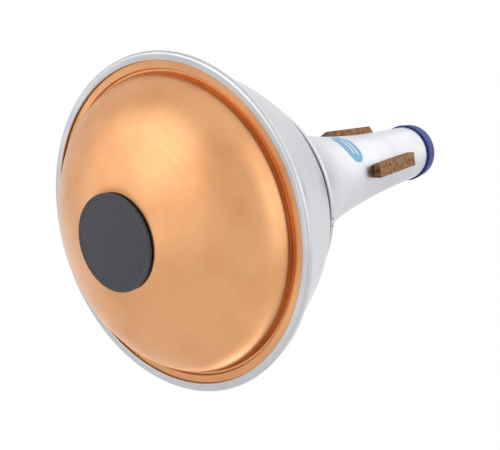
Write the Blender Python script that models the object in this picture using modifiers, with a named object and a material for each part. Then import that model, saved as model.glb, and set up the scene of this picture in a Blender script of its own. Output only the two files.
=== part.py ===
"""Trombone straight mute: spun aluminium neck and bowl, copper base, cork strips, end ring.

Metres, +Z up. The mute stands on its base pad: the origin is the centre of the pad's
underside, and the axis is +Z, towards the small end that goes into the bell.
"""

import math

import bpy
from mathutils import Matrix, Vector

# Driving dimensions of the body
RIM_RADIUS = 0.0750
BOWL_HEIGHT = 0.0500
SEAM_RADIUS = 0.0477
NECK_LENGTH = 0.1454
WALL = 0.0009

# Curves of the bowl and neck
BOWL_LOWER_PULL = 0.0648
BOWL_UPPER_PULL = 0.0634
NECK_CORE = 0.0135
NECK_FLARE = 0.0435
NECK_FLARE_POWER = 0.93

# Copper base
DOME_RADIUS = 0.0660
DOME_RISE = 0.0364
DOME_ROUNDNESS = 1.64
DOME_SEAT_DEPTH = 0.0326
COPPER_THICKNESS = 0.0008
GROOVE_WIDTH = 0.0014
GROOVE_DEPTH = 0.0010

# Crimped rim
RIM_BEAD = 0.0016
LIP_REACH = 0.0040
CRIMP_GAP = 0.0003

# Lock seam between neck and bowl
COLLAR_HEIGHT = 0.0022

# Pad
PAD_RADIUS = 0.0208
PAD_THICKNESS = 0.0016
TAPE_THICKNESS = 0.0003
TAPE_MARGIN = 0.0060
FACE_GAP = 0.0001

# Corks
CORK_COUNT = 3
CORK_LENGTH = 0.0400
CORK_WIDTH = 0.0072
CORK_THICKNESS = 0.0044
CORK_START = 0.1325
CORK_FIRST_ANGLE = 13.0
CORK_GAP = 0.0003

# End ring
RING_LENGTH = 0.0081
RING_WALL = 0.0010
RING_LIP = 0.0009
RING_TAPER = 0.0006
RING_GAP = 0.0003

# Facets
TURN_STEPS = 72
BOWL_POINTS = 8
NECK_POINTS = 12
DOME_STATIONS = (12, 20, 28, 36, 44, 52, 60, 67, 72)

RIM_HEIGHT = DOME_SEAT_DEPTH + TAPE_THICKNESS + PAD_THICKNESS + 2 * FACE_GAP
SEAM_HEIGHT = RIM_HEIGHT + BOWL_HEIGHT
NECK_TOP = SEAM_HEIGHT + NECK_LENGTH
END_HEIGHT = NECK_TOP + RING_LENGTH
NECK_END_RADIUS = NECK_CORE + (SEAM_RADIUS - NECK_CORE) * math.exp(
    -((NECK_LENGTH / NECK_FLARE) ** NECK_FLARE_POWER)
)


def clear_scene():
    for obj in list(bpy.data.objects):
        bpy.data.objects.remove(obj, do_unlink=True)


def collection(name):
    made = bpy.data.collections.new(name)
    bpy.context.scene.collection.children.link(made)
    return made


def material(name, color, roughness, metallic):
    made = bpy.data.materials.new(name)
    made.use_nodes = True
    shader = made.node_tree.nodes["Principled BSDF"]
    shader.inputs["Base Color"].default_value = (*color, 1.0)
    shader.inputs["Roughness"].default_value = roughness
    shader.inputs["Metallic"].default_value = metallic
    return made


def turned(name, profile, group, finish=None):
    """A body of revolution from (radius, height) points, outer side first and top to bottom."""
    mesh = bpy.data.meshes.new(name)
    points = [(radius, 0.0, height) for radius, height in profile]
    closed = profile[0][0] > 0 or profile[-1][0] > 0
    edges = [(i, i + 1) for i in range(len(points) - 1)]
    if closed:
        edges.append((len(points) - 1, 0))
    mesh.from_pydata(points, edges, [])
    made = bpy.data.objects.new(name, mesh)
    group.objects.link(made)
    screw = made.modifiers.new("turn", "SCREW")
    screw.axis = "Z"
    screw.steps = TURN_STEPS
    screw.render_steps = TURN_STEPS
    screw.use_merge_vertices = True
    screw.merge_threshold = 0.00001
    screw.use_smooth_shade = True
    if finish:
        mesh.materials.append(finish)
    return made


def bowl_radius(height):
    """Outer radius of the bowl, convex from the rim to the seam."""
    part = (height - RIM_HEIGHT) / BOWL_HEIGHT
    rest = 1.0 - part
    ends = RIM_RADIUS * rest**3 + SEAM_RADIUS * part**3
    pulls = BOWL_LOWER_PULL * rest**2 * part + BOWL_UPPER_PULL * rest * part**2
    return ends + 3.0 * pulls


def neck_radius(height):
    """Outer radius of the neck: a flare that dies away from the seam to the small end."""
    along = max(height - SEAM_HEIGHT, 0.0) / NECK_FLARE
    return NECK_CORE + (SEAM_RADIUS - NECK_CORE) * math.exp(-(along**NECK_FLARE_POWER))


def dome_drop(radius):
    """Depth of the dome's outer face below the rim plane."""
    share = min(radius / DOME_RADIUS, 1.0)
    depth = DOME_RISE * (1 - share**DOME_ROUNDNESS) ** (1 / DOME_ROUNDNESS)
    return min(depth, DOME_SEAT_DEPTH)


def spread(first, last, count, power=1.0):
    """Stations from first to last, closer together near the first where power is over 1."""
    return [first + (last - first) * (i / (count - 1)) ** power for i in range(count)]


def bowl_profile():
    """Wall of the bowl with its collar at the seam and its lip folded under the copper flange."""
    collar_top = SEAM_HEIGHT + COLLAR_HEIGHT
    shoulder = RIM_HEIGHT + RIM_BEAD
    flange_top = RIM_HEIGHT + CRIMP_GAP + COPPER_THICKNESS / 2
    flange_bottom = RIM_HEIGHT - CRIMP_GAP - COPPER_THICKNESS / 2
    lip_inner = RIM_RADIUS - LIP_REACH
    outer = [(SEAM_RADIUS, collar_top)]
    outer += [(bowl_radius(z), z) for z in spread(SEAM_HEIGHT, shoulder, BOWL_POINTS)]
    bead = []
    for turn in (0, 30, 60, 90):
        angle = math.radians(turn)
        bead.append(
            (
                RIM_RADIUS - RIM_BEAD + RIM_BEAD * math.cos(angle),
                RIM_HEIGHT - RIM_BEAD * math.sin(angle),
            )
        )
    lip = [(lip_inner, RIM_HEIGHT - RIM_BEAD), (lip_inner, flange_bottom)]
    slot = [
        (RIM_RADIUS - WALL, flange_bottom),
        (RIM_RADIUS - WALL, flange_top),
        (RIM_RADIUS - WALL - LIP_REACH / 2, flange_top),
    ]
    inner = [(bowl_radius(z) - WALL * 1.2, z) for z in spread(shoulder, SEAM_HEIGHT, BOWL_POINTS)]
    return outer + bead + lip + slot + inner + [(SEAM_RADIUS - WALL, collar_top)]


def neck_profile():
    """Wall of the neck: a hook over the bowl's collar, the flare, and the spigot in the ring."""
    hook_top = SEAM_HEIGHT + COLLAR_HEIGHT + CRIMP_GAP + WALL
    hook_under = SEAM_HEIGHT + COLLAR_HEIGHT + CRIMP_GAP
    hook_foot = SEAM_HEIGHT + COLLAR_HEIGHT / 2
    collar_outside = SEAM_RADIUS + CRIMP_GAP
    collar_inside = SEAM_RADIUS - WALL * 1.2 - CRIMP_GAP
    spigot = NECK_END_RADIUS - RING_WALL + RING_TAPER / 2
    spigot_top = END_HEIGHT - RING_LIP - RING_GAP
    flare_start = hook_top + WALL
    outer = [(spigot, spigot_top), (spigot, NECK_TOP), (neck_radius(NECK_TOP), NECK_TOP)]
    outer += [(neck_radius(z), z) for z in spread(flare_start, NECK_TOP, NECK_POINTS, 1.5)][-2::-1]
    hook = [
        (SEAM_RADIUS, hook_top),
        (collar_outside + WALL, hook_under + WALL / 3),
        (collar_outside + WALL, hook_foot),
        (collar_outside, hook_foot),
        (collar_outside, hook_under),
        (collar_inside, hook_under),
        (collar_inside, SEAM_HEIGHT - COLLAR_HEIGHT),
        (collar_inside - WALL, SEAM_HEIGHT - COLLAR_HEIGHT),
        (collar_inside - WALL, SEAM_HEIGHT),
    ]
    inner = [
        (neck_radius(z) - WALL * 1.3, z) for z in spread(flare_start, NECK_TOP, NECK_POINTS, 1.5)
    ]
    return outer + hook + inner[:-1] + [(spigot - WALL, NECK_TOP), (spigot - WALL, spigot_top)]


def sheet(outer, thickness):
    """Closed profile of sheet metal: the outer side, and back along its inner side."""
    inner = []
    for i, point in enumerate(outer):
        before = Vector(outer[max(i - 1, 0)])
        after = Vector(outer[min(i + 1, len(outer) - 1)])
        here = Vector(point)
        first = (here - before).normalized() if i else (after - here).normalized()
        last = (after - here).normalized() if i < len(outer) - 1 else first
        normals = [Vector((side.y, -side.x)) for side in (first, last)]
        mitre = (normals[0] + normals[1]).normalized()
        inner.append(here - mitre * thickness / max(mitre.dot(normals[0]), 0.35))
    inner[-1].x = outer[-1][0]
    return list(outer) + [tuple(point) for point in reversed(inner)]


def dome_profile():
    """Copper base: flange held by the crimp, stiffening groove, and the dome down to its seat."""
    flange_radius = RIM_RADIUS - WALL - 2 * CRIMP_GAP
    bottom = RIM_HEIGHT - COPPER_THICKNESS / 2
    groove_out = DOME_RADIUS + GROOVE_WIDTH
    outer = [
        (flange_radius, bottom),
        (groove_out, bottom),
        (groove_out, bottom + GROOVE_DEPTH),
        (DOME_RADIUS, bottom + GROOVE_DEPTH),
        (DOME_RADIUS, bottom),
    ]
    for turn in DOME_STATIONS:
        radius = DOME_RADIUS * math.cos(math.radians(turn))
        outer.append((radius, RIM_HEIGHT - dome_drop(radius)))
    outer.append((0.0, RIM_HEIGHT - DOME_SEAT_DEPTH))
    return sheet(outer, -COPPER_THICKNESS)


def disc(name, radius, low, high, group, finish, edge=0.0):
    """A flat round piece between two heights, with an eased edge."""
    bpy.ops.mesh.primitive_cylinder_add(
        vertices=TURN_STEPS,
        radius=radius,
        depth=high - low,
        location=(0.0, 0.0, (low + high) / 2),
    )
    made = bpy.context.object
    made.name = name
    made.data.name = name
    for old in list(made.users_collection):
        old.objects.unlink(made)
    group.objects.link(made)
    made.data.materials.append(finish)
    made.data.shade_smooth()
    made.data.set_sharp_from_angle(angle=math.radians(35))
    if edge:
        bevel = made.modifiers.new("eased edge", "BEVEL")
        bevel.width = edge
        bevel.segments = 1
        bevel.limit_method = "ANGLE"
    return made


def ring_profile():
    """Plastic sleeve over the neck's end, with a lip that covers the metal edge."""
    spigot = NECK_END_RADIUS - RING_WALL + RING_TAPER / 2
    inside = spigot + RING_GAP
    outside_low = NECK_END_RADIUS + RING_WALL
    outside_high = outside_low - RING_TAPER
    bore = spigot - WALL - RING_GAP
    low = NECK_TOP + RING_GAP
    round_over = RING_LIP / 2
    return [
        (bore, END_HEIGHT),
        (outside_high - round_over, END_HEIGHT),
        (outside_high, END_HEIGHT - round_over),
        (outside_low, low + round_over),
        (outside_low - round_over / 2, low),
        (inside, low),
        (inside, END_HEIGHT - RING_LIP),
        (bore, END_HEIGHT - RING_LIP),
    ]


def cork_cutter(group):
    """The neck's outside with the glue line, which shapes the underside of each cork."""
    low = CORK_START + RIM_HEIGHT - CORK_LENGTH
    high = CORK_START + RIM_HEIGHT + 2 * CORK_LENGTH
    high = min(high, NECK_TOP)
    outer = [(neck_radius(z) + CORK_GAP, z) for z in spread(high, low, NECK_POINTS)]
    made = turned("cork_seat_cutter", [(0.0, high)] + outer + [(0.0, low)], group)
    made.hide_render = True
    made.display_type = "WIRE"
    return made


def cork(index, cutter, group, finish):
    """One strip, laid along the taper and hollowed to fit the neck."""
    low = RIM_HEIGHT + CORK_START
    high = low + CORK_LENGTH
    slope = math.atan2(neck_radius(low) - neck_radius(high), CORK_LENGTH)
    middle = (low + high) / 2
    depth = 2 * CORK_THICKNESS
    bpy.ops.mesh.primitive_cube_add(size=1.0)
    made = bpy.context.object
    made.name = f"cork_strip_{index + 1}"
    made.data.name = made.name
    for old in list(made.users_collection):
        old.objects.unlink(made)
    group.objects.link(made)
    made.data.transform(Matrix.Diagonal((depth, CORK_WIDTH, CORK_LENGTH, 1.0)))
    turn = math.radians(CORK_FIRST_ANGLE + index * 360 / CORK_COUNT - 90)
    outwards = Matrix.Translation(Vector((neck_radius(middle), 0.0, middle)))
    lean = Matrix.Rotation(-slope, 4, "Y")
    made.matrix_world = Matrix.Rotation(turn, 4, "Z") @ outwards @ lean
    made.data.materials.append(finish)
    cut = made.modifiers.new("neck seat", "BOOLEAN")
    cut.operation = "DIFFERENCE"
    cut.object = cutter
    return made


def build():
    clear_scene()
    parts = collection("trombone_straight_mute")
    cutters = collection("cutters")
    aluminium = material("aluminium", (0.78, 0.79, 0.81), 0.32, 1.0)
    copper = material("copper", (0.86, 0.50, 0.30), 0.26, 1.0)
    rubber = material("rubber", (0.10, 0.10, 0.11), 0.80, 0.0)
    tape = material("tape", (0.75, 0.73, 0.68), 0.70, 0.0)
    cork_material = material("cork", (0.47, 0.25, 0.13), 0.85, 0.0)
    plastic = material("blue_plastic", (0.03, 0.07, 0.45), 0.40, 0.0)

    turned("bowl_shell", bowl_profile(), parts, aluminium)
    turned("neck_cone", neck_profile(), parts, aluminium)
    turned("base_dome", dome_profile(), parts, copper)
    disc("base_pad", PAD_RADIUS, 0.0, PAD_THICKNESS, parts, rubber, PAD_THICKNESS / 5)
    tape_low = PAD_THICKNESS + FACE_GAP
    disc("pad_tape", PAD_RADIUS - TAPE_MARGIN, tape_low, tape_low + TAPE_THICKNESS, parts, tape)
    turned("end_ring", ring_profile(), parts, plastic)
    cutter = cork_cutter(cutters)
    for index in range(CORK_COUNT):
        cork(index, cutter, parts, cork_material)


build()
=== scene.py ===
"""Looks of the trombone straight mute: spun metal, copper base, cork, rubber and plastic.

Metres, in the frame's axes: the mute stands on its pad, and +Z is towards the small end.
"""

import math

import bpy
from mathutils import Matrix, Vector


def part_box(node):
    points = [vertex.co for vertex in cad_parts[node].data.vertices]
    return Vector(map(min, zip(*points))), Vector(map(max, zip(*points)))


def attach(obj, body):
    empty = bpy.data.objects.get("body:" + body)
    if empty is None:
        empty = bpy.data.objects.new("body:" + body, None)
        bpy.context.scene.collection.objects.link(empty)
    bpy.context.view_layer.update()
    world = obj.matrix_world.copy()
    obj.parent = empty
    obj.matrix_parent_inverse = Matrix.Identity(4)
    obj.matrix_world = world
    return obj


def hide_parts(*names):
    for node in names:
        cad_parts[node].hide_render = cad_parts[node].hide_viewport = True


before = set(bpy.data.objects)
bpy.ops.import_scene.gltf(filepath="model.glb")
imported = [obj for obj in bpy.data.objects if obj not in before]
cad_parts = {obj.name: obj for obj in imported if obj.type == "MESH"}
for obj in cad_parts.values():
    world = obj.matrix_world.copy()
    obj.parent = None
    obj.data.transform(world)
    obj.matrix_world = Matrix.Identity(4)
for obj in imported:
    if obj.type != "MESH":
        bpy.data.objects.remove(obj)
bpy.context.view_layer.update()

# Body, the same values as the solids
RIM_HEIGHT = 0.0347
RIM_RADIUS = 0.0750
BOWL_HEIGHT = 0.0500
SEAM_RADIUS = 0.0477
NECK_LENGTH = 0.1454
RING_LENGTH = 0.0081
WALL = 0.0009
FIT_GAP = 0.0003
SEAM_HEIGHT = RIM_HEIGHT + BOWL_HEIGHT
NECK_TOP = SEAM_HEIGHT + NECK_LENGTH
END_HEIGHT = NECK_TOP + RING_LENGTH

# Curves of the bowl and neck
LOWER_PULL = 0.0648
UPPER_PULL = 0.0634
NECK_CORE = 0.0135
NECK_FLARE = 0.0435
FLARE_POWER = 0.93

# Level width of a slanting wall, in sheet thicknesses
BOWL_SLANT = 1.2
NECK_SLANT = 1.3

# Rolled rim
RIM_BEAD = 0.0016
LIP_RADIUS = 0.0710
LIP_ROUND = 0.0004
LIP_ROUND_DROP = 0.0012
SLOT_HEAD = 0.0007
BEAD_OVERLAP = 0.0002

# Seam between bowl and neck
COLLAR_RISE = 0.0022
HOOK_RISE = 0.0034
HOOK_FOOT = 0.0011
HOOK_TOP_ROUND = 0.0008
HOOK_TOP_DROP = 0.0010
HOOK_FOOT_ROUND = 0.0004

# Neck's end inside the ring
SPIGOT_OUTSIDE = 0.0143
SPIGOT_INSIDE = 0.0134
SPIGOT_DROP = 0.0012
OUTER_END_STEP = 0.0020
INNER_END_STEP = 0.0010

# Copper base
DOME_RADIUS = 0.0660
DOME_RISE = 0.0364
DOME_ROUNDNESS = 1.64
SEAT_DEPTH = 0.0326
COPPER = 0.0008
FLANGE_RADIUS = 0.0735
GROOVE_WIDTH = 0.0014
GROOVE_DEPTH = 0.0009
GROOVE_ROUND = 0.0003
GROOVE_SLANT = 0.0002
DOME_SHOULDER = 0.0004

# Pad, with a faint pressed ring
PAD_RADIUS = 0.0208
PAD_THICKNESS = 0.0016
PAD_ROUND = 0.0004
PAD_TOP_EASE = 0.0001
PAD_RING_INSET = 0.0016
PAD_RING_SLOPE = 0.0002
PAD_RING_WIDTH = 0.0003
PAD_RING_DEPTH = 0.00008

# End ring
RING_BORE = 0.0131
RING_SEAT = 0.0146
RING_LIP = 0.0009
RING_SHOULDER = 0.0014
RING_TOP_ROUND = 0.0007
RING_LOW_ROUND = 0.0005

# Corks
CORK_WEAR = 0.0003

# Label on the neck, angle from -Y towards +X
LABEL_ANGLE = -35.0
LABEL_HEIGHT = 0.1550
LABEL_HALF_WIDTH = 0.0108
LABEL_HALF_HEIGHT = 0.0072
LABEL_KEYLINE = 0.0006
LABEL_FILM = 0.00008
LABEL_OVAL = 2.4
BAR_OFFSETS = (0.0018, -0.0018)
BAR_HALF_WIDTHS = (0.0070, 0.0056)
BAR_HALF_HEIGHT = 0.0008
BAR_OVAL = 6.0

# Painted dark reflections on the seam's ridge: two short dark streaks
SEAM_REFLECTION_ANGLES = (22.0, 26.0)
SEAM_REFLECTION_RISE = 0.0020
SEAM_REFLECTION_HALF_WIDTH = 0.0003
SEAM_REFLECTION_HALF_HEIGHT = 0.0005
SEAM_REFLECTION_FILM = 0.00006
SEAM_REFLECTION_OVAL = 3.0

# Facets
TURNS = 192
PATCH_RINGS = 12
PATCH_SPOKES = 64
SHARP_ANGLE = 38.0
ON_AXIS = 0.000001

# Camera, from the photograph's frame in pixels
PHOTO_WIDTH = 500
PHOTO_HEIGHT = 450
PHOTO_AXIS_X = 249
PHOTO_AXIS_Y = 211
FOCAL_PIXELS = 1000
SENSOR_WIDTH = 36.0
CAMERA_PLACE = (0.0, -0.31261, -0.26642)
CAMERA_RIGHT = (0.29551, -0.71634, 0.63209)
CAMERA_UP = (-0.95529, -0.21505, 0.20290)
CAMERA_BACK = (-0.00942, -0.66379, -0.74786)

# Studio
FLOOR_SIZE = 16.0
FLOOR_GAP = 0.0002
LAMP_TARGET = (0.0, 0.0, 0.09)


def bowl_radius(height):
    """Outer radius of the bowl at a height."""
    part = (height - RIM_HEIGHT) / BOWL_HEIGHT
    rest = 1.0 - part
    ends = RIM_RADIUS * rest**3 + SEAM_RADIUS * part**3
    return ends + 3.0 * (LOWER_PULL * rest**2 * part + UPPER_PULL * rest * part**2)


def neck_radius(height):
    """Outer radius of the neck at a height."""
    along = max(height - SEAM_HEIGHT, 0.0) / NECK_FLARE
    return NECK_CORE + (SEAM_RADIUS - NECK_CORE) * math.exp(-(along**FLARE_POWER))


def ridge_radius(_height=None):
    """Outer radius of the seam's ridge, the same at every height."""
    return SEAM_RADIUS + FIT_GAP + WALL


def dome_drop(radius):
    """Depth of the dome below the rim plane."""
    share = min(radius / DOME_RADIUS, 1.0)
    depth = DOME_RISE * (1.0 - share**DOME_ROUNDNESS) ** (1.0 / DOME_ROUNDNESS)
    return min(depth, SEAT_DEPTH)


def stations(first, last, count):
    """Evenly spaced values, both ends included."""
    return [first + (last - first) * i / (count - 1) for i in range(count)]


def arc(centre, radius, first, last, count):
    """Points of a round edge, angles in degrees from the outward direction."""
    points = []
    for angle in stations(math.radians(first), math.radians(last), count):
        across = centre[0] + radius * math.cos(angle)
        points.append((across, centre[1] + radius * math.sin(angle)))
    return points


def dome_radii(first, last, count):
    """Radii of the dome, evenly spaced by angle in degrees from its edge."""
    return [DOME_RADIUS * math.cos(math.radians(turn)) for turn in stations(first, last, count)]


def bowl_profile():
    """Bowl with its collar inside the neck's hook, and the rim rolled over the flange."""
    collar_top = SEAM_HEIGHT + COLLAR_RISE
    lip_top = RIM_HEIGHT - COPPER / 2 - FIT_GAP
    lip_round = (LIP_RADIUS + LIP_ROUND, RIM_HEIGHT - LIP_ROUND_DROP)
    outside = stations(SEAM_HEIGHT, RIM_HEIGHT + BEAD_OVERLAP, 44)
    inside = stations(RIM_HEIGHT + RIM_BEAD, SEAM_HEIGHT, 30)
    points = [(SEAM_RADIUS, collar_top)]
    points += [(bowl_radius(z), z) for z in outside]
    points += arc((RIM_RADIUS - RIM_BEAD, RIM_HEIGHT), RIM_BEAD, 0, -90, 9)
    points += arc(lip_round, LIP_ROUND, -90, -180, 5)
    points += [(LIP_RADIUS, lip_top), (RIM_RADIUS - WALL, lip_top)]
    points += [(RIM_RADIUS - WALL, RIM_HEIGHT + SLOT_HEAD)]
    points += [(bowl_radius(z) - WALL * BOWL_SLANT, z) for z in inside]
    points += [(SEAM_RADIUS - WALL, collar_top)]
    return points


def neck_profile():
    """Neck with its hook, drawn as the rounded ridge of a pressed seam."""
    ridge = ridge_radius()
    hook_top = SEAM_HEIGHT + HOOK_RISE
    hook_under = SEAM_HEIGHT + COLLAR_RISE + FIT_GAP
    hook_face = SEAM_RADIUS + FIT_GAP
    tongue = SEAM_RADIUS - WALL * BOWL_SLANT - FIT_GAP
    tongue_foot = SEAM_HEIGHT - COLLAR_RISE
    top_round = (ridge - HOOK_TOP_ROUND, hook_top - HOOK_TOP_DROP)
    foot_round = (ridge - HOOK_FOOT_ROUND, SEAM_HEIGHT + HOOK_FOOT + HOOK_FOOT_ROUND)
    outside = stations(NECK_TOP - OUTER_END_STEP, hook_top + WALL, 70)
    inside = stations(hook_top + WALL, NECK_TOP - INNER_END_STEP, 40)
    points = [(SPIGOT_OUTSIDE, END_HEIGHT - SPIGOT_DROP), (SPIGOT_OUTSIDE, NECK_TOP)]
    points += [(neck_radius(NECK_TOP), NECK_TOP)]
    points += [(neck_radius(z), z) for z in outside]
    points += [(SEAM_RADIUS - HOOK_FOOT_ROUND, hook_top)]
    points += arc(top_round, HOOK_TOP_ROUND, 80, 0, 6)
    points += arc(foot_round, HOOK_FOOT_ROUND, 0, -90, 4)
    points += [(hook_face, SEAM_HEIGHT + HOOK_FOOT), (hook_face, hook_under)]
    points += [(tongue, hook_under), (tongue, tongue_foot)]
    points += [(tongue - WALL, tongue_foot), (tongue - WALL, SEAM_HEIGHT)]
    points += [(neck_radius(z) - WALL * NECK_SLANT, z) for z in inside]
    points += [(SPIGOT_INSIDE, NECK_TOP), (SPIGOT_INSIDE, END_HEIGHT - SPIGOT_DROP)]
    return points


def base_profile():
    """Copper base: the flange, the groove, the dome down to the pad's seat, and back inside."""
    bottom = RIM_HEIGHT - COPPER / 2
    groove = DOME_RADIUS + GROOVE_WIDTH
    floor_of_groove = bottom + GROOVE_DEPTH
    back_of_groove = floor_of_groove + COPPER
    seat = RIM_HEIGHT - SEAT_DEPTH
    points = [(FLANGE_RADIUS, bottom), (groove + GROOVE_ROUND, bottom)]
    points += [(groove, bottom + GROOVE_ROUND), (groove - GROOVE_SLANT, floor_of_groove)]
    points += [(DOME_RADIUS + GROOVE_ROUND, floor_of_groove)]
    points += [(DOME_RADIUS, bottom + DOME_SHOULDER)]
    points += [(r, RIM_HEIGHT - dome_drop(r)) for r in dome_radii(0.0, 88.0, 80)]
    points += [(0.0, seat), (0.0, seat + COPPER)]
    for r in dome_radii(70.0, 4.0, 30):
        points.append((r - COPPER, RIM_HEIGHT - dome_drop(r) + COPPER))
    points += [(DOME_RADIUS - COPPER, back_of_groove), (groove + COPPER, back_of_groove)]
    points += [(groove + COPPER, bottom + COPPER), (FLANGE_RADIUS, bottom + COPPER)]
    return points


def pad_profile():
    """Pad with an eased edge and a faint pressed ring on its underside."""
    ring_start = PAD_RADIUS - PAD_RING_INSET
    ring_end = ring_start - PAD_RING_SLOPE - PAD_RING_WIDTH
    points = [(0.0, PAD_THICKNESS), (PAD_RADIUS - PAD_TOP_EASE, PAD_THICKNESS)]
    points += arc((PAD_RADIUS - PAD_ROUND, PAD_ROUND), PAD_ROUND, 0, -90, 6)
    points += [(ring_start, 0.0), (ring_start - PAD_RING_SLOPE, PAD_RING_DEPTH)]
    points += [(ring_end, PAD_RING_DEPTH), (ring_end - PAD_RING_SLOPE, 0.0), (0.0, 0.0)]
    return points


def ring_profile():
    """End ring: a sleeve with a lip over the neck's end."""
    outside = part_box("end_ring")[1][0]
    shoulder = outside - RING_SHOULDER
    low_round = (outside - RING_LOW_ROUND, NECK_TOP + FIT_GAP + RING_LOW_ROUND)
    points = [(RING_BORE, END_HEIGHT), (shoulder, END_HEIGHT)]
    points += arc((shoulder, END_HEIGHT - RING_TOP_ROUND), RING_TOP_ROUND, 88, 4, 7)
    points += arc(low_round, RING_LOW_ROUND, 0, -90, 5)
    points += [(RING_SEAT, NECK_TOP + FIT_GAP), (RING_SEAT, END_HEIGHT - RING_LIP)]
    points += [(RING_BORE, END_HEIGHT - RING_LIP)]
    return points


def piece(name, verts, faces, material, weld_distance):
    """A smooth mesh piece that rides on the body."""
    mesh = bpy.data.meshes.new(name)
    mesh.from_pydata(verts, [], faces)
    mesh.validate()
    mesh.materials.append(material)
    mesh.shade_smooth()
    made = bpy.data.objects.new(name, mesh)
    bpy.context.scene.collection.objects.link(made)
    weld = made.modifiers.new("weld", "WELD")
    weld.merge_threshold = weld_distance
    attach(made, "root")
    return made


def lathe(name, profile, material, stands_for, closed=True):
    """A turned piece that stands for a node of the frame."""
    verts = []
    faces = []
    count = len(profile)
    for i in range(TURNS):
        angle = 2.0 * math.pi * i / TURNS
        verts += [(r * math.cos(angle), r * math.sin(angle), z) for r, z in profile]
    for i in range(TURNS):
        here = i * count
        after = ((i + 1) % TURNS) * count
        for j in range(count if closed else count - 1):
            k = (j + 1) % count
            if profile[j][0] < ON_AXIS and profile[k][0] < ON_AXIS:
                continue
            faces.append((here + j, here + k, after + k, after + j))
    made = piece(name, verts, faces, material, 0.000005)
    made.data.set_sharp_from_angle(angle=math.radians(SHARP_ANGLE))
    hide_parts(stands_for)
    return made


def patch(name, angle, height, half_width, half_height, lift, material, surface, power):
    """A thin film on the body's surface, from oval to square as power grows."""
    centre = math.radians(angle - 90.0)
    verts = []
    faces = []
    for i in range(PATCH_RINGS + 1):
        for j in range(PATCH_SPOKES):
            turn = 2.0 * math.pi * j / PATCH_SPOKES
            cosine = math.cos(turn)
            sine = math.sin(turn)
            outline = (abs(cosine) ** power + abs(sine) ** power) ** (-1.0 / power)
            reach = outline * i / PATCH_RINGS
            z = height + reach * sine * half_height
            radius = surface(z) + lift
            at = centre + reach * cosine * half_width / radius
            verts.append((radius * math.cos(at), radius * math.sin(at), z))
    for i in range(PATCH_RINGS):
        for j in range(PATCH_SPOKES):
            k = (j + 1) % PATCH_SPOKES
            here = i * PATCH_SPOKES
            after = here + PATCH_SPOKES
            faces.append((here + j, after + j, after + k, here + k))
    return piece(name, verts, faces, material, 0.000002)


def shader(name, color, roughness, metallic):
    """A Principled material, with its node tree and shader."""
    made = bpy.data.materials.new(name)
    made.use_nodes = True
    node = made.node_tree.nodes["Principled BSDF"]
    node.inputs["Base Color"].default_value = (*color, 1.0)
    node.inputs["Roughness"].default_value = roughness
    node.inputs["Metallic"].default_value = metallic
    return made, made.node_tree, node


def object_place(tree, scale=None):
    """The socket of a point's place on the object, stretched by a scale."""
    where = tree.nodes.new("ShaderNodeTexCoord").outputs["Object"]
    if scale is None:
        return where
    stretch = tree.nodes.new("ShaderNodeMapping")
    stretch.inputs["Scale"].default_value = scale
    tree.links.new(where, stretch.inputs["Vector"])
    return stretch.outputs["Vector"]


def noise(tree, place, scale, detail):
    """The value socket of a noise."""
    node = tree.nodes.new("ShaderNodeTexNoise")
    node.inputs["Scale"].default_value = scale
    node.inputs["Detail"].default_value = detail
    tree.links.new(place, node.inputs["Vector"])
    return node.outputs["Fac"]


def tint(tree, source, stops, node):
    """Colours the shader by a value, from stops of (value, colour)."""
    ramp = tree.nodes.new("ShaderNodeValToRGB")
    elements = ramp.color_ramp.elements
    while len(elements) < len(stops):
        elements.new(0.5)
    for element, (place, color) in zip(elements, stops):
        element.position = place
        element.color = (*color, 1.0)
    tree.links.new(source, ramp.inputs["Fac"])
    tree.links.new(ramp.outputs["Color"], node.inputs["Base Color"])


def bump(tree, source, node, strength, distance):
    """Raises the surface by a value."""
    made = tree.nodes.new("ShaderNodeBump")
    made.inputs["Strength"].default_value = strength
    made.inputs["Distance"].default_value = distance
    tree.links.new(source, made.inputs["Height"])
    tree.links.new(made.outputs["Normal"], node.inputs["Normal"])


def spun_metal(name, dark, light, rough_low, rough_high, lines):
    """Metal turned on a lathe: rings round the axis, and soft clouds from handling."""
    made, tree, node = shader(name, light, rough_low, 1.0)
    rings = noise(tree, object_place(tree, (6.0, 6.0, lines)), 1.0, 4.0)
    clouds = noise(tree, object_place(tree), 38.0, 5.0)
    tint(tree, clouds, [(0.30, dark), (0.62, light)], node)
    span = tree.nodes.new("ShaderNodeMapRange")
    span.inputs["To Min"].default_value = rough_low
    span.inputs["To Max"].default_value = rough_high
    tree.links.new(rings, span.inputs["Value"])
    tree.links.new(span.outputs["Result"], node.inputs["Roughness"])
    bump(tree, rings, node, 0.10, 0.0002)
    node.inputs["Anisotropic"].default_value = 0.85
    round_axis = tree.nodes.new("ShaderNodeTangent")
    round_axis.direction_type = "RADIAL"
    round_axis.axis = "Z"
    tree.links.new(round_axis.outputs["Tangent"], node.inputs["Tangent"])
    return made


def cork_material():
    """Agglomerated cork: pressed grains of several browns."""
    dark = (0.14, 0.06, 0.02)
    middle = (0.34, 0.155, 0.06)
    light = (0.48, 0.25, 0.11)
    made, tree, node = shader("cork_grain", middle, 0.85, 0.0)
    cells = tree.nodes.new("ShaderNodeTexVoronoi")
    cells.inputs["Scale"].default_value = 700.0
    tree.links.new(object_place(tree), cells.inputs["Vector"])
    tint(tree, cells.outputs["Color"], [(0.10, dark), (0.45, middle), (0.85, light)], node)
    bump(tree, cells.outputs["Distance"], node, 0.5, 0.0004)
    return made


def grained(name, dark, light, roughness, scale, strength):
    """A moulded or sheet material with a fine grain."""
    made, tree, node = shader(name, light, roughness, 0.0)
    grain = noise(tree, object_place(tree), scale, 4.0)
    tint(tree, grain, [(0.35, dark), (0.65, light)], node)
    bump(tree, grain, node, strength, 0.0002)
    return made


def finish_node(name, material):
    """Gives a node of the frame its material, and returns its object."""
    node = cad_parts[name]
    node.data.materials.clear()
    node.data.materials.append(material)
    return node


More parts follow.
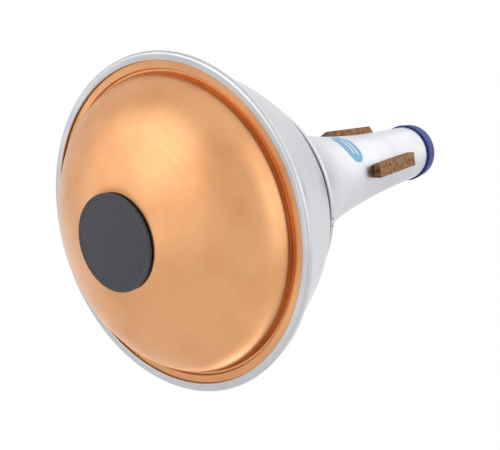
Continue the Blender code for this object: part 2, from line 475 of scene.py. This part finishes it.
def corks():
    """The cork strips keep their solids, with worn edges."""
    material = cork_material()
    for name in ("cork_strip_1", "cork_strip_2", "cork_strip_3"):
        wear = finish_node(name, material).modifiers.new("worn edges", "BEVEL")
        wear.width = CORK_WEAR
        wear.segments = 2
        wear.limit_method = "ANGLE"


def label():
    """A plain oval label with a pale keyline and two pale bars."""
    blue = grained("label_blue", (0.10, 0.42, 0.72), (0.13, 0.48, 0.80), 0.35, 300.0, 0.05)
    pale = grained("label_pale", (0.80, 0.84, 0.86), (0.88, 0.90, 0.92), 0.35, 300.0, 0.05)
    ovals = (("label_edge", 0.0, pale), ("label_field", LABEL_KEYLINE, blue))
    for layer, (name, inset, material) in enumerate(ovals, start=1):
        patch(
            name,
            LABEL_ANGLE,
            LABEL_HEIGHT,
            LABEL_HALF_WIDTH - inset,
            LABEL_HALF_HEIGHT - inset,
            layer * LABEL_FILM,
            material,
            neck_radius,
            LABEL_OVAL,
        )
    for number, (offset, half_width) in enumerate(zip(BAR_OFFSETS, BAR_HALF_WIDTHS), start=1):
        patch(
            f"label_bar_{number}",
            LABEL_ANGLE,
            LABEL_HEIGHT + offset,
            half_width,
            BAR_HALF_HEIGHT,
            3 * LABEL_FILM,
            pale,
            neck_radius,
            BAR_OVAL,
        )


def paint_seam_reflections():
    """Two short dark streaks of painted reflection on the seam's ridge."""
    # Painted reflection: a near-black film that stands for the seam's dark reflections
    reflection_paint = grained("seam_painted_reflection", (0.02, 0.02, 0.02), (0.06, 0.05, 0.05), 0.7, 600.0, 0.2)
    for number, angle in enumerate(SEAM_REFLECTION_ANGLES, start=1):
        patch(
            f"seam_painted_reflection_{number}",
            angle,
            SEAM_HEIGHT + SEAM_REFLECTION_RISE,
            SEAM_REFLECTION_HALF_WIDTH,
            SEAM_REFLECTION_HALF_HEIGHT,
            SEAM_REFLECTION_FILM,
            reflection_paint,
            ridge_radius,
            SEAM_REFLECTION_OVAL,
        )


def dress():
    """Every visible piece of the mute."""
    aluminium = spun_metal(
        "spun_aluminium", (0.50, 0.51, 0.535), (0.58, 0.59, 0.61), 0.28, 0.42, 2600.0
    )
    copper = spun_metal("spun_copper", (0.64, 0.30, 0.13), (0.74, 0.38, 0.18), 0.30, 0.44, 1500.0)
    rubber = grained("pad_rubber", (0.060, 0.060, 0.068), (0.090, 0.090, 0.100), 0.8, 900.0, 0.4)
    tape = grained("pad_tape_film", (0.60, 0.58, 0.53), (0.72, 0.70, 0.65), 0.7, 500.0, 0.1)
    plastic = grained("ring_plastic", (0.004, 0.022, 0.20), (0.007, 0.034, 0.27), 0.50, 400.0, 0.1)
    lathe("bowl_spun", bowl_profile(), aluminium, "bowl_shell")
    lathe("neck_spun", neck_profile(), aluminium, "neck_cone")
    lathe("base_spun", base_profile(), copper, "base_dome")
    lathe("pad_moulded", pad_profile(), rubber, "base_pad", closed=False)
    lathe("ring_moulded", ring_profile(), plastic, "end_ring")
    finish_node("pad_tape", tape)
    corks()
    label()
    # Painted dark reflections on the seam's ridge
    paint_seam_reflections()


def floor():
    """Shows from above, and open from below, where the photograph's camera is."""
    bpy.ops.mesh.primitive_plane_add(size=FLOOR_SIZE, location=(0.0, 0.0, -FLOOR_GAP))
    made = bpy.context.object
    made.name = "floor"
    material, tree, node = shader("floor_paint", (0.90, 0.90, 0.90), 0.9, 0.0)
    side = tree.nodes.new("ShaderNodeNewGeometry")
    clear = tree.nodes.new("ShaderNodeBsdfTransparent")
    choose = tree.nodes.new("ShaderNodeMixShader")
    tree.links.new(side.outputs["Backfacing"], choose.inputs["Fac"])
    tree.links.new(node.outputs["BSDF"], choose.inputs[1])
    tree.links.new(clear.outputs["BSDF"], choose.inputs[2])
    tree.links.new(choose.outputs["Shader"], tree.nodes["Material Output"].inputs["Surface"])
    made.data.materials.append(material)
    made.visible_shadow = False
    made.visible_diffuse = False
    made.visible_glossy = False


def lamp(name, place, size, power):
    """A soft square lamp that points at the mute's middle."""
    data = bpy.data.lights.new(name, "AREA")
    data.size = size
    data.energy = power
    made = bpy.data.objects.new(name, data)
    bpy.context.scene.collection.objects.link(made)
    made.location = place
    aim = Vector(LAMP_TARGET) - Vector(place)
    made.rotation_euler = aim.to_track_quat("-Z", "Y").to_euler()


def studio():
    """Even light from all round, with a white background also in the metal's reflections."""
    world = bpy.data.worlds.new("studio")
    bpy.context.scene.world = world
    world.use_nodes = True
    tree = world.node_tree
    light = tree.nodes["Background"]
    light.inputs["Color"].default_value = (0.62, 0.63, 0.65, 1.0)
    light.inputs["Strength"].default_value = 0.75
    white = tree.nodes.new("ShaderNodeBackground")
    white.inputs["Color"].default_value = (1.0, 1.0, 1.0, 1.0)
    white.inputs["Strength"].default_value = 1.0
    path = tree.nodes.new("ShaderNodeLightPath")
    shows_white = path.outputs["Is Camera Ray"]
    for ray in ("Is Glossy Ray", "Is Transmission Ray"):
        either = tree.nodes.new("ShaderNodeMath")
        either.operation = "MAXIMUM"
        tree.links.new(shows_white, either.inputs[0])
        tree.links.new(path.outputs[ray], either.inputs[1])
        shows_white = either.outputs["Value"]
    mix = tree.nodes.new("ShaderNodeMixShader")
    tree.links.new(shows_white, mix.inputs["Fac"])
    tree.links.new(light.outputs["Background"], mix.inputs[1])
    tree.links.new(white.outputs["Background"], mix.inputs[2])
    tree.links.new(mix.outputs["Shader"], tree.nodes["World Output"].inputs["Surface"])


def camera():
    """The photograph's camera, below the base and to one side."""
    data = bpy.data.cameras.new("camera")
    data.sensor_width = SENSOR_WIDTH
    data.sensor_fit = "HORIZONTAL"
    data.lens = SENSOR_WIDTH * FOCAL_PIXELS / PHOTO_WIDTH
    data.shift_x = (PHOTO_WIDTH / 2 - PHOTO_AXIS_X) / PHOTO_WIDTH
    data.shift_y = (PHOTO_AXIS_Y - PHOTO_HEIGHT / 2) / PHOTO_WIDTH
    made = bpy.data.objects.new("camera", data)
    bpy.context.scene.collection.objects.link(made)
    turn = Matrix((CAMERA_RIGHT, CAMERA_UP, CAMERA_BACK)).transposed().to_4x4()
    made.matrix_world = Matrix.Translation(Vector(CAMERA_PLACE)) @ turn
    bpy.context.scene.camera = made


dress()
floor()
lamp("key_below", (-0.60, 0.10, -0.70), 0.70, 2.6)
lamp("front_low", (0.02, -0.96, 0.00), 0.80, 1.9)
lamp("top", (-0.30, -0.50, 0.90), 1.10, 2.6)
lamp("side", (0.90, 0.30, 0.40), 0.50, 2.5)
studio()
camera()
bpy.context.scene.view_settings.view_transform = "Standard"
bpy.context.scene.cycles.caustics_reflective = False
